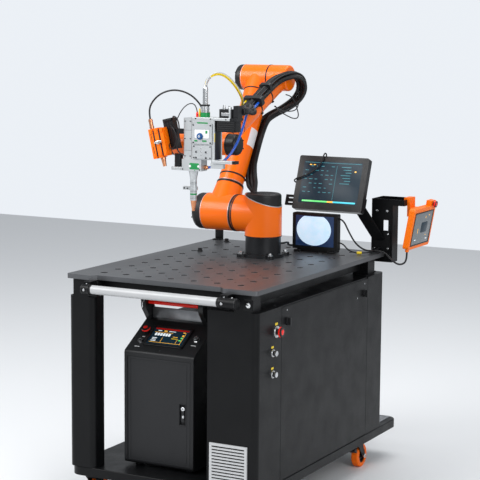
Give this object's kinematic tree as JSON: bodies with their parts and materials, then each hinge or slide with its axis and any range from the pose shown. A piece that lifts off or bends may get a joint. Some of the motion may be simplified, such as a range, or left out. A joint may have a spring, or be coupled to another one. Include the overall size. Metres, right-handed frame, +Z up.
{
  "type": "articulated laser welding robot arm on a wheeled worktable stand",
  "caption": "Six-joint orange robot arm with a laser welding head, on a wheeled worktable with power source, screens and pendant.",
  "frame": {"origin": "centre of the outline's box on the floor, under the castors", "axes": "+Z up, +X to the right along the table's front edge, +Y to the back, away from the push handle"},
  "size_m": [0.9938, 1.44, 1.7096],
  "materials": {
    "steel_black": "semi-gloss black paint",
    "table_steel": "dark nitrided steel, ground and reflective",
    "robot_orange": "satin orange paint on cast aluminium",
    "cap_black": "fine grained black cover",
    "tool_silver": "satin anodised aluminium",
    "tool_dark": "black anodised aluminium",
    "copper": "bare copper",
    "bright_steel": "bright zinc plated steel",
    "handle_white": "light powder coat on tube",
    "vent_white": "white moulded grille",
    "tread_grey": "ribbed grey tread",
    "tyre_orange": "orange polyurethane",
    "source_grey": "fine textured anthracite paint",
    "source_door_grey": "fine textured dark grey paint",
    "grip_red": "red enamel",
    "housing_black": "black moulded housing",
    "screen_glass": "lit display panel",
    "button_red": "glossy red",
    "pendant_orange": "orange moulded frame",
    "hose_black": "corrugated black conduit"
  },
  "bodies": {
    "stand": {"table_top": "table_steel", "table_frame": "steel_black", "base_platform": "steel_black", "tread_plate": "tread_grey", "left_posts": "steel_black", "cabinet_posts": "steel_black", "cabinet_frame": "steel_black", "side_panel": "steel_black", "panel_latches": "cap_black", "vent_grille": "vent_white", "castor_forks": "steel_black", "castor_tyres": "tyre_orange", "castor_hubs": "bright_steel", "push_handle": "handle_white", "handle_brackets": "steel_black", "source_body": "source_grey", "source_handle": "grip_red", "robot_base": "tool_dark", "monitor_housing": "housing_black", "monitor_bracket": "steel_black", "camera_monitor": "housing_black", "pendant_holder": "steel_black", "pendant_body": "pendant_orange", "control_buttons": "button_red", "display_screens": "screen_glass", "pendant_cable": "hose_black"},
    "source_door_leaf": {"source_door": "source_door_grey"},
    "turret": {"shoulder_column": "robot_orange", "column_cap": "cap_black", "hose_shoulder": "hose_black"},
    "upper_arm": {"upper_arm_hub": "robot_orange", "upper_arm_caps": "cap_black", "upper_arm_tube": "robot_orange", "elbow_hub": "robot_orange", "hose_upper_arm": "hose_black"},
    "forearm": {"forearm_hub": "robot_orange", "forearm_tube": "robot_orange", "forearm_end": "robot_orange", "forearm_end_cap": "cap_black", "forearm_saddles": "cap_black", "hose_forearm": "hose_black", "hose_elbow": "hose_black"},
    "wrist_one": {"wrist1_housing": "robot_orange", "wrist1_cap": "cap_black", "tool_lines_rear": "hose_black"},
    "wrist_two": {"wrist2_housing": "robot_orange", "wrist2_cap": "cap_black", "tool_lines_middle": "hose_black"},
    "tool": {"tool_flange": "tool_silver", "tool_bracket": "tool_silver", "weld_head": "tool_silver", "nozzle_tube": "tool_silver", "copper_nozzle": "copper", "side_rails": "tool_dark", "fibre_connector": "bright_steel", "wire_feed_slide": "tool_dark", "wire_feed_clamp": "pendant_orange", "wire_nozzle": "copper", "feed_cable": "hose_black", "tool_lines_front": "hose_black"}
  },
  "joints": [
    {"name": "turret_swing", "type": "hinge", "parent": "stand", "child": "turret", "pos_m": [-0.057, 0.134, 0.925], "axis": [0, 0, 1], "range_deg": [-40, 90]},
    {"name": "shoulder_lift", "type": "hinge", "parent": "turret", "child": "upper_arm", "pos_m": [-0.25, 0.134, 1.099], "axis": [-1, 0, 0], "range_deg": [-30, 15], "deforming": ["hose_shoulder"]},
    {"name": "elbow_bend", "type": "hinge", "parent": "upper_arm", "child": "forearm", "pos_m": [-0.147, 0.46723, 1.65359], "axis": [1, 0, 0], "range_deg": [-60, 10], "deforming": ["hose_elbow"]},
    {"name": "wrist_pitch", "type": "hinge", "parent": "forearm", "child": "wrist_one", "pos_m": [-0.147, -0.07789, 1.40171], "axis": [-1, 0, 0], "range_deg": [-30, 60], "deforming": ["tool_lines_rear"]},
    {"name": "wrist_roll", "type": "hinge", "parent": "wrist_one", "child": "wrist_two", "pos_m": [-0.2495, -0.07789, 1.40171], "axis": [0, -1, 0], "range_deg": [-45, 45], "deforming": ["tool_lines_middle"]},
    {"name": "tool_turn", "type": "hinge", "parent": "wrist_two", "child": "tool", "pos_m": [-0.2495, -0.18039, 1.40171], "axis": [1, 0, 0], "range_deg": [-45, 45], "deforming": ["tool_lines_front"]},
    {"name": "source_door_hinge", "type": "hinge", "parent": "stand", "child": "source_door_leaf", "pos_m": [-0.2865, -0.546, 0.385], "axis": [0, 0, -1], "range_deg": [0, 100]}
  ]
}
